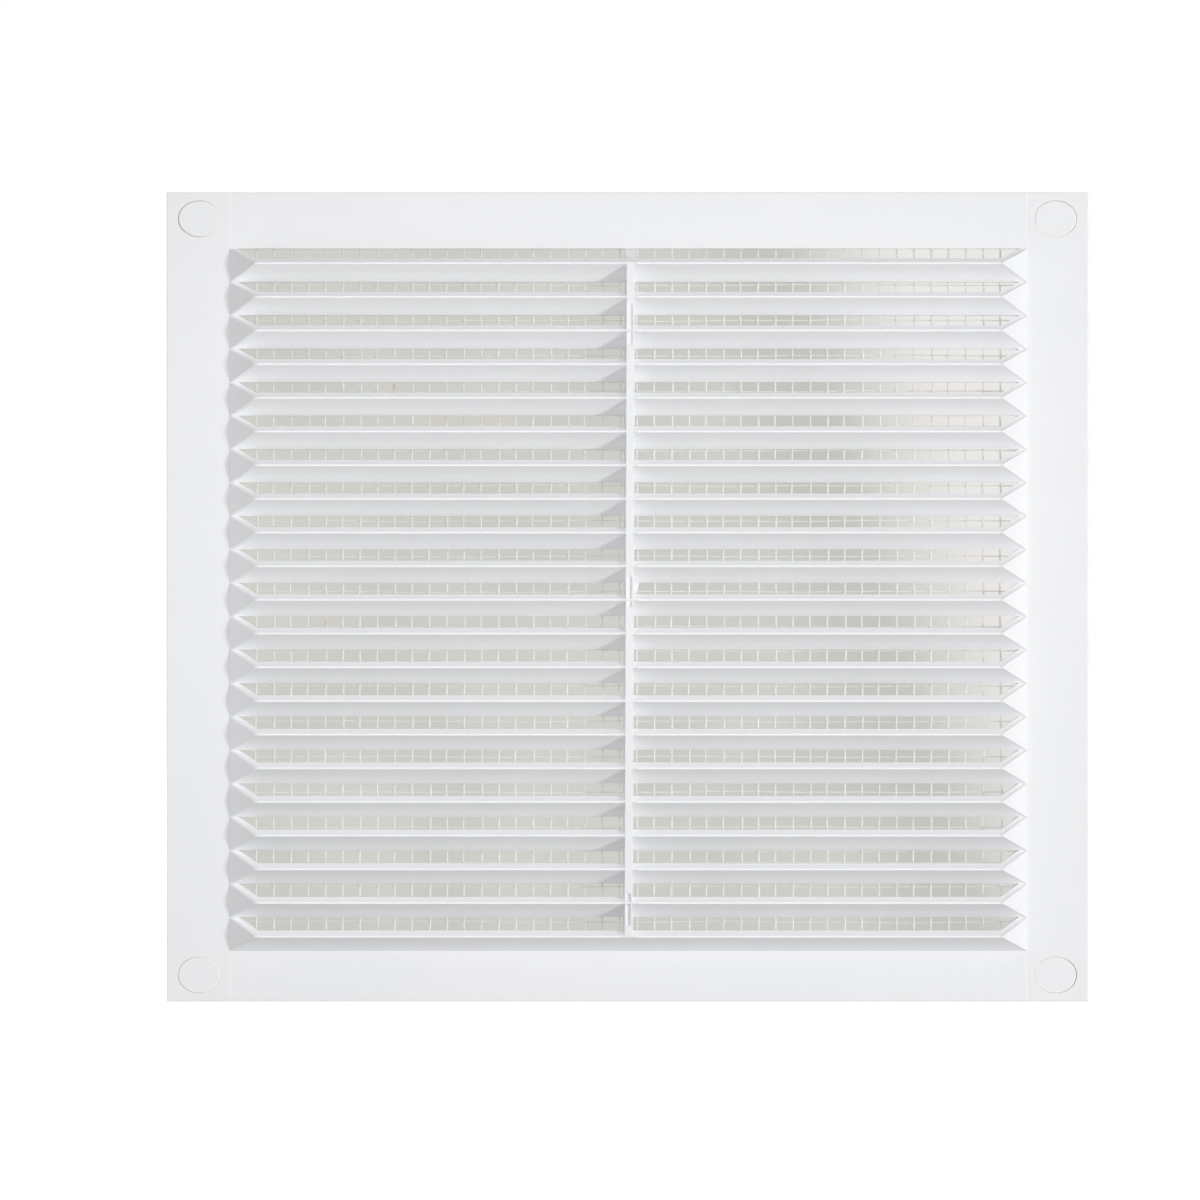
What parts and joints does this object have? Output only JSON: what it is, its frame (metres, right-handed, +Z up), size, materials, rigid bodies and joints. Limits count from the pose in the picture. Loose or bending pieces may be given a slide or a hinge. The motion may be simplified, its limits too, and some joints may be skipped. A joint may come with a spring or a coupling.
{
  "type": "louvred vent",
  "caption": "White moulded wall vent: a square-cornered plate with a bank of hipped fixed louvres, a fly screen behind it and oval caps over the corner screw holes.",
  "frame": {"origin": "middle of the four screw holes, on the wall plane that the rim's back rests on", "axes": "+X to the right seen from the front, +Z up as pictured, +Y into the wall, so the louvres stand out towards -Y"},
  "size_m": [0.262, 0.0129, 0.23],
  "materials": {
    "white_plastic": "satin moulded",
    "net_plastic": "matt extruded"
  },
  "bodies": {
    "root": {"louvre_body": "white_plastic", "fly_screen": "net_plastic", "screw_cap_top_left": "white_plastic", "screw_cap_top_right": "white_plastic", "screw_cap_bottom_left": "white_plastic", "screw_cap_bottom_right": "white_plastic"}
  },
  "joints": []
}
